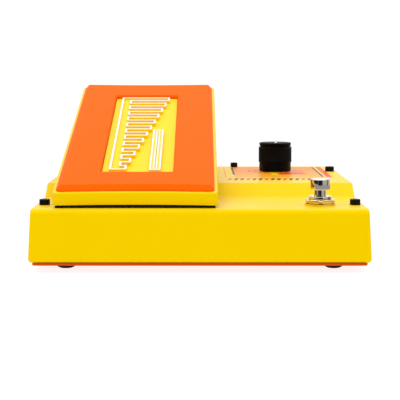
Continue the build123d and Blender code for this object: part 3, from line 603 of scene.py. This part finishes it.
def make_grip(settings, plastic):
    """Fluted grip: its radius dips along each flute by a power of a raised cosine, and the flutes run
    out near both ends."""
    radius, height, foot = round_size("knob_grip")
    bore, edge, samples_per_flute = 4.62 * MM, 0.35 * MM, 8
    flutes = settings.flutes
    angle = np.linspace(0, 2 * np.pi, flutes * samples_per_flute, endpoint=False)
    rise = [0, edge * 0.4, edge, 0.9 * MM, 1.3 * MM]
    levels = np.array(rise + [height - step for step in reversed(rise)])
    inset = [edge, edge * 0.4, 0, 0, 0]
    plain = radius - np.array(inset + inset[::-1])
    run_in = [0, 0, 0, 0.3, 1]
    depth = np.array(run_in + run_in[::-1]) * settings.flute_depth
    dip = (0.5 - 0.5 * np.cos(flutes * angle)) ** 1.5
    rings = plain[:, None] - depth[:, None] * dip[None, :]
    hole = np.full((1, len(angle)), bore)
    rings = np.concatenate([hole, rings, hole])
    levels = np.concatenate([[0], levels, [height]])
    grid = np.stack([foot[0] + rings * np.cos(angle), foot[1] + rings * np.sin(angle),
                     foot[2] + levels[:, None] + 0 * rings], axis=-1)
    grip = surface("fluted_grip", grid, plastic, "selector_knob", close_rows=True)
    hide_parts("knob_grip")


def make_cap(settings):
    """Cap with a rounded rim and a shallow dished top."""
    radius, height, foot = round_size("knob_cap")
    rim, dish = 0.5 * MM, settings.dish
    profile = np.concatenate([
        [(0, 0), (radius - 0.9 * MM, 0), (radius - 0.9 * MM, 0.35 * MM), (radius - 0.25 * MM, 0.45 * MM)],
        arc(radius - rim, height - rim - 0.1 * MM, rim, 0, 90, 6),
        [(radius - 1.3 * MM, height - 0.05 * MM), (radius - 1.7 * MM, height - dish * 0.5),
         (radius - 2.2 * MM, height - dish), (radius * 0.4, height - dish * 0.92), (0, height - dish * 0.9)],
    ])
    satin = moulded_plastic("knob_cap_plastic", settings.colour, 0.40, 0.12)
    grid = lathe(profile, foot, KNOB_SEGMENTS)
    cap = surface("knob_cap_top", grid, satin, "selector_knob")
    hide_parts("knob_cap")


def make_skirt(plastic):
    """Thin ring under the grip, with broken edges."""
    radius, height, foot = round_size("knob_skirt")
    wall = 1.5 * MM
    profile = [(radius - wall, 0), (radius - 0.3 * MM, 0), (radius, 0.3 * MM), (radius, height - 0.5 * MM),
               (radius - 0.15 * MM, height - 0.2 * MM), (radius - 0.5 * MM, height), (radius - wall, height)]
    skirt = surface("knob_skirt_ring", lathe(profile, foot, KNOB_SEGMENTS), plastic, "selector_knob",
                    close_rows=True)
    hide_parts("knob_skirt")


def threaded(radius, height, pitch, depth, bore):
    """Profile of a threaded tube: a saw of even ridges outside and a plain bore."""
    count = max(2, int(height / pitch))
    steps = np.linspace(0, height, 2 * count + 1)
    ridge = np.where(np.arange(len(steps)) % 2 == 0, radius - depth, radius)
    outside = np.column_stack([ridge, steps])
    return np.concatenate([outside, [(bore, height), (bore, 0)]])


def turned_nut(width, height, bore, turn, rows=9, columns=144):
    """Hexagon nut as rings about its axis: the radius is the smaller of the hexagon's, which is half the
    width over the cosine of the angle from the middle of a flat, and a cone's that turns the corners down
    at both faces. The bore closes the rings into a tube."""
    angle = np.linspace(0, 2 * np.pi, columns, endpoint=False)
    from_flat = (angle - math.radians(turn)) % (np.pi / 3) - np.pi / 6
    hexagon = width / 2 / np.cos(from_flat)
    level = np.linspace(0, height, rows)
    cone = width / 2 * 0.97 + 1.9 * np.minimum(level, height - level)
    hole = np.full((1, columns), bore)
    radius = np.concatenate([hole, np.minimum(hexagon[None, :], cone[:, None]), hole])
    level = np.concatenate([[0], level, [height]])
    return np.stack([radius * np.cos(angle), radius * np.sin(angle), level[:, None] + 0 * radius], axis=-1)


def make_footswitch():
    """Finishes of the footswitch, its push button, its panel nut and the ridges of its barrel's thread."""
    # The chrome's warm tint is a painted reflection of the warm surroundings; real chrome is neutral.
    chrome = plated_metal("bright_chrome", (0.86, 0.79, 0.70), 0.04)
    # The yellow tint of the nut and washer is a painted reflection of the yellow deck round them.
    deck_tinted_metal = plated_metal("deck_reflection_plate", (0.90, 0.70, 0.34), 0.10)
    dress(chrome, "footswitch_body", "footswitch_stem")
    dress(deck_tinted_metal, "footswitch_washer", "footswitch_nut")
    make_button(chrome)
    make_panel_nut(deck_tinted_metal)
    make_barrel_thread(chrome)


def make_button(chrome):
    """Push button with rounded edges and a slightly crowned top."""
    radius, height, foot = round_size("footswitch_button")
    low_edge, top_edge, crown = 0.45 * MM, 0.7 * MM, 0.12 * MM
    profile = np.concatenate([
        [(0, 0), (radius - 0.5 * MM, 0)],
        arc(radius - low_edge, low_edge, low_edge, -90, 0, 5),
        arc(radius - top_edge, height - top_edge - crown, top_edge, 0, 84, 8),
        [(radius * 0.6, height - 0.06 * MM), (radius * 0.3, height - 0.01 * MM), (0, height)],
    ])
    grid = lathe(profile, foot, 128)
    button = surface("push_button", grid, chrome, "footswitch_plunger")
    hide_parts("footswitch_button")


def make_panel_nut(metal):
    """Hexagon nut of the footswitch, turned a little off square."""
    low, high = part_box("footswitch_nut")
    axis = centre("footswitch_button")
    bore, turn = 5.85 * MM, 28
    grid = turned_nut(high.y - low.y, high.z - low.z, bore, turn)
    nut = surface("panel_nut", moved(grid, (axis.x, axis.y, low.z)), metal, "base",
                  close_rows=True, smooth=False)
    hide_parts("footswitch_nut")


def make_barrel_thread(chrome):
    """Thread of the barrel between the nut and the collar's top."""
    axis = centre("footswitch_button")
    nut_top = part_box("footswitch_nut")[1].z
    collar_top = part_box("footswitch_body")[1].z
    crest, pitch, depth, bore = 5.98 * MM, 0.55 * MM, 0.16 * MM, 5.82 * MM
    profile = threaded(crest, collar_top - nut_top, pitch, depth, bore)
    surface("barrel_thread", lathe(profile, (axis.x, axis.y, nut_top), 96), chrome, "base",
            close_rows=True)


def facing_rear(grid, axis, start):
    """Turns a grid made about an upright axis to a socket's axis, which points to the rear."""
    return np.stack([grid[..., 0] + axis.x, start + grid[..., 2], axis.z - grid[..., 1]], axis=-1)


def make_sockets():
    """Hexagon nuts and threads of the two jacks, and the finishes of their necks and washers."""
    nickel = plated_metal("socket_nickel", (0.72, 0.71, 0.68), 0.16)
    dress(nickel, "jack_nuts", "jack_washers")
    dress(moulded_plastic("jack_plastic", (0.02, 0.02, 0.022), 0.35), "input_jack", "output_jack")
    low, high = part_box("jack_nuts")
    nut_bore, nut_turn = 5.65 * MM, 12
    for name in ("input_jack", "output_jack"):
        grid = turned_nut(high.z - low.z, high.y - low.y, nut_bore, nut_turn)
        grid = facing_rear(grid, centre(name), low.y)
        surface(name.replace("jack", "nut"), grid, nickel, "base",
                            close_rows=True, smooth=False)
    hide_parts("jack_nuts")
    crest, pitch, depth, bore, set_back = 5.78 * MM, 0.6 * MM, 0.15 * MM, 5.62 * MM, 0.2 * MM
    for name in ("input_jack", "output_jack"):
        neck_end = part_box(name)[1].y
        profile = threaded(crest, neck_end - high.y - set_back, pitch, depth, bore)
        grid = facing_rear(lathe(profile, (0, 0, 0), 64), centre(name), high.y)
        surface(name.replace("jack", "thread"), grid, nickel, "base", close_rows=True)


# Operators ------------------------------------------------------------------------------------------

class PEDAL_OT_coat(bpy.types.Operator):
    """Coats the case, the tray and the bottom plate"""
    bl_idname = "pedal.coat"
    bl_label = "Coat the case"

    def execute(self, context):
        paint = context.scene.pedal_paint
        dress(printed_case(paint), "top_housing", "side_walls")
        dress(powder_coat("yellow_tray_paint", paint.yellow), "treadle_tray")
        dress(powder_coat("orange_plate_paint", paint.orange), "bottom_plate")
        return {"FINISHED"}


class PEDAL_OT_pad(bpy.types.Operator):
    """Makes the bevelled tread pad with its window"""
    bl_idname = "pedal.pad"
    bl_label = "Make the tread pad"

    def execute(self, context):
        make_pad(context.scene.pedal_pad)
        return {"FINISHED"}


class PEDAL_OT_badge(bpy.types.Operator):
    """Finishes the badge plate and its raised ramp of bars"""
    bl_idname = "pedal.badge"
    bl_label = "Finish the badge"

    def execute(self, context):
        plastic = moulded_plastic("badge_yellow", (0.95, 0.66, 0.004), 0.34, 0.1)
        white = enamel("white_enamel", (0.86, 0.86, 0.89))
        dress(plastic, "badge_plate", "badge_emblem")
        dress(white, "emblem_trim", "knob_pointer")
        make_fader(white, plastic)
        return {"FINISHED"}


class PEDAL_OT_knob(bpy.types.Operator):
    """Makes the selector knob's fluted grip, cap and skirt"""
    bl_idname = "pedal.knob"
    bl_label = "Make the knob"

    def execute(self, context):
        make_knob(context.scene.pedal_knob)
        return {"FINISHED"}


class PEDAL_OT_footswitch(bpy.types.Operator):
    """Makes the footswitch's button, nut and thread, and plates its parts"""
    bl_idname = "pedal.footswitch"
    bl_label = "Make the footswitch"

    def execute(self, context):
        make_footswitch()
        return {"FINISHED"}


class PEDAL_OT_sockets(bpy.types.Operator):
    """Makes the rear sockets' nuts and threads"""
    bl_idname = "pedal.sockets"
    bl_label = "Finish the sockets"

    def execute(self, context):
        make_sockets()
        return {"FINISHED"}


class PEDAL_OT_fittings(bpy.types.Operator):
    """Gives the screws, feet, pivot, sensor and board their finishes"""
    bl_idname = "pedal.fittings"
    bl_label = "Finish the fittings"

    def execute(self, context):
        oxide = plated_metal("black_oxide", (0.022, 0.02, 0.018), 0.28, 0.1)
        dress(oxide, "housing_cap_screws", "bottom_plate_screws", "rear_cap_screw", "pinion_set_screw",
              "knob_set_screw")
        dress(moulded_rubber("black_rubber", (0.012, 0.012, 0.012), 0.5), "rubber_feet", "heel_stop_pad",
              "toe_stop_pads")
        zinc = plated_metal("zinc_plate", (0.62, 0.63, 0.66), 0.26, 0.15)
        dress(zinc, "pivot_base_plate", "pivot_lugs", "bracket_screws", "bracket_nuts",
              "treadle_hinge_frame", "hinge_frame_screws", "sector_screws", "pivot_shaft", "shaft_clips",
              "sensor_bracket", "sensor_bracket_screws", "sensor_shaft", "selector_shaft", "sensor_body",
              "sensor_nut", "selector_nut", "selector_washer", "board_screws", "corner_pillars",
              "rear_pillar", "footswitch_spring", "board_standoffs")
        dress(plated_metal("turned_brass", (0.80, 0.58, 0.26), 0.2, 0.1), "knob_insert", "pivot_bushes",
              "footswitch_terminals")
        dress(moulded_plastic("white_nylon", (0.80, 0.79, 0.74), 0.45), "gear_sector", "pinion_gear")
        dress(moulded_plastic("part_plastic", (0.016, 0.016, 0.018), 0.35), "selector_body", "power_jack",
              "board_components")
        dress(circuit_finish(), "main_circuit_board")
        return {"FINISHED"}


class PEDAL_OT_stage(bpy.types.Operator):
    """Makes the floor, the studio light and the camera"""
    bl_idname = "pedal.stage"
    bl_label = "Set the stage"

    def execute(self, context):
        settings = context.scene.pedal_stage
        make_floor()
        make_world()
        make_light("top_panel", (-0.1, 0.15, 1.1), (0, 0, 0), 1.3, settings.key_power)
        make_camera(settings)
        return {"FINISHED"}


def make_floor():
    """Plain pale floor, mostly self-lit so that shadows stay faint, and dark to reflections."""
    finish = Finish("pale_floor", Specular_IOR_Level=0.0, Emission_Strength=0.86)
    finish.set("Base Color", finish.mix(finish.noise(3.0, 2.0), (0.23, 0.23, 0.23), (0.25, 0.25, 0.25)))
    finish.set("Roughness", 0.9)
    mirrored = finish.node("ShaderNodeLightPath", {}, {}, "Is Glossy Ray")
    finish.set("Emission Color", finish.mix(mirrored, (1.0, 1.0, 1.0), (0.06, 0.06, 0.06)))
    reach = 0.36
    mesh = bpy.data.meshes.new("floor")
    mesh.from_pydata([(-reach, -reach, 0), (reach, -reach, 0), (reach, reach, 0), (-reach, reach, 0)], [],
                     [(0, 1, 2, 3)])
    mesh.materials.append(finish.material)
    floor = bpy.data.objects.new("floor", mesh)
    bpy.context.scene.collection.objects.link(floor)


class WorldTree:
    """Node tree of the studio's world, with the same short way of making a node as Finish."""

    def __init__(self, world):
        world.use_nodes = True
        self.tree = world.node_tree
        self.tree.nodes.clear()

    def node(self, kind, settings=None, values=None):
        made = self.tree.nodes.new(kind)
        for name, value in (settings or {}).items():
            setattr(made, name, value)
        for name, value in (values or {}).items():
            if isinstance(value, bpy.types.NodeSocket):
                self.tree.links.new(value, made.inputs[name])
            else:
                made.inputs[name].default_value = value
        return made

    def math(self, operation, *values):
        return self.node("ShaderNodeMath", {"operation": operation}, dict(enumerate(values))).outputs[0]

    def band(self, wire, low, high):
        """Mask that is one between two values."""
        above, beneath = self.math("GREATER_THAN", wire, low), self.math("LESS_THAN", wire, high)
        return self.math("MULTIPLY", above, beneath)

    def ramp(self, wire, low, high, first, last):
        values = {"Value": wire, "From Min": low, "From Max": high, "To Min": first, "To Max": last}
        return self.node("ShaderNodeMapRange", None, values).outputs[0]


# Upright bands of the studio that only reflections see: from and to azimuth in degrees, and brightness.
# Azimuth 0 is the front and 90 is the right-hand side.
FRONT_BANDS = ((-180, -150, 1.0), (-150, -80, 0.42), (-80, -31, 0.015), (-31, -24, 0.14), (-24, 22, 0.012),
               (22, 78, 0.46), (78, 98, 0.14), (98, 132, 0.5), (132, 180, 1.0))


def make_world():
    """White studio: white to the camera, soft light from all round and brightest overhead, and for
    reflections a front half of upright dark and grey bands."""
    world = bpy.data.worlds.new("studio")
    bpy.context.scene.world = world
    sky = WorldTree(world)
    coords = sky.node("ShaderNodeTexCoord").outputs["Generated"]
    x, y, z = sky.node("ShaderNodeSeparateXYZ", None, {0: coords}).outputs
    below = sky.band(z, -1.1, 0.0)
    light = sky.math("MULTIPLY_ADD", below, 0.45, sky.ramp(z, 0.0, 0.95, 0.50, 1.32))
    ahead = sky.math("MULTIPLY", y, -1.0)
    turn = sky.math("MULTIPLY", sky.math("ARCTAN2", x, ahead), 180 / math.pi)
    bands = 0.0
    for low, high, level in FRONT_BANDS:
        bands = sky.math("MULTIPLY_ADD", sky.band(turn, low, high), level, bands)
    overhead = sky.ramp(z, 0.30, 0.50, 0.0, 1.0)
    mirrored = sky.node("ShaderNodeMix", {"data_type": "FLOAT"},
                        {0: overhead, 2: bands, 3: light}).outputs[0]
    path = sky.node("ShaderNodeLightPath").outputs
    strength = sky.node("ShaderNodeMix", {"data_type": "FLOAT"},
                        {0: path["Is Glossy Ray"], 2: light, 3: mirrored}).outputs[0]
    lit = sky.node("ShaderNodeBackground", None, {0: (1, 1, 1, 1), 1: strength}).outputs[0]
    seen = sky.node("ShaderNodeBackground", None, {0: (1, 1, 1, 1), 1: 1.05}).outputs[0]
    blend = sky.node("ShaderNodeMixShader", None, {0: path["Is Camera Ray"], 1: lit, 2: seen}).outputs[0]
    sky.node("ShaderNodeOutputWorld", None, {0: blend})


def make_light(name, place, target, size, power):
    """Square soft light that faces a target."""
    lamp = bpy.data.lights.new(name, "AREA")
    lamp.size = size
    lamp.energy = power
    made = bpy.data.objects.new(name, lamp)
    made.location = place
    aim = Vector(target) - Vector(place)
    made.rotation_euler = aim.to_track_quat("-Z", "Y").to_euler()
    bpy.context.scene.collection.objects.link(made)


def make_camera(settings):
    """Camera straight in front of the case, tipped a little down."""
    camera = bpy.data.cameras.new("camera")
    camera.lens = settings.lens
    camera.sensor_width = 36.0
    camera.clip_start, camera.clip_end = 0.05, 30.0
    made = bpy.data.objects.new("camera", camera)
    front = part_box("top_housing")[0].y
    made.location = (settings.aside, front - settings.distance, settings.height)
    made.rotation_euler = (math.pi / 2 - settings.pitch, 0, 0)
    bpy.context.scene.collection.objects.link(made)
    bpy.context.scene.camera = made
    bpy.context.scene.view_settings.view_transform = "Standard"


class PEDAL_PT_panel(bpy.types.Panel):
    """Sidebar list of the pedal's steps"""
    bl_idname = "PEDAL_PT_panel"
    bl_label = "Treadle Pedal"
    bl_space_type = "VIEW_3D"
    bl_region_type = "UI"
    bl_category = "Pedal"

    def draw(self, context):
        for group in ("pedal_paint", "pedal_pad", "pedal_knob", "pedal_stage"):
            box = self.layout.box()
            settings = getattr(context.scene, group)
            for name in settings.bl_rna.properties.keys():
                if name not in ("rna_type", "name"):
                    box.prop(settings, name)
        for step in STEPS:
            self.layout.operator(step.bl_idname)


GROUPS = {"pedal_paint": PedalPaint, "pedal_pad": PedalPad, "pedal_knob": PedalKnob,
          "pedal_stage": PedalStage}
STEPS = (PEDAL_OT_stage, PEDAL_OT_coat, PEDAL_OT_pad, PEDAL_OT_badge, PEDAL_OT_knob,
         PEDAL_OT_footswitch, PEDAL_OT_sockets, PEDAL_OT_fittings)


def register():
    for kind in (*GROUPS.values(), *STEPS, PEDAL_PT_panel):
        bpy.utils.register_class(kind)
    for name, kind in GROUPS.items():
        setattr(bpy.types.Scene, name, bpy.props.PointerProperty(type=kind))


def unregister():
    for name in GROUPS:
        delattr(bpy.types.Scene, name)
    for kind in (PEDAL_PT_panel, *reversed(STEPS), *reversed(GROUPS.values())):
        bpy.utils.unregister_class(kind)


def main():
    register()
    bpy.ops.pedal.stage()
    bpy.ops.pedal.coat()
    bpy.ops.pedal.pad()
    bpy.ops.pedal.badge()
    bpy.ops.pedal.knob()
    bpy.ops.pedal.footswitch()
    bpy.ops.pedal.sockets()
    bpy.ops.pedal.fittings()


if __name__ == "__main__":
    main()
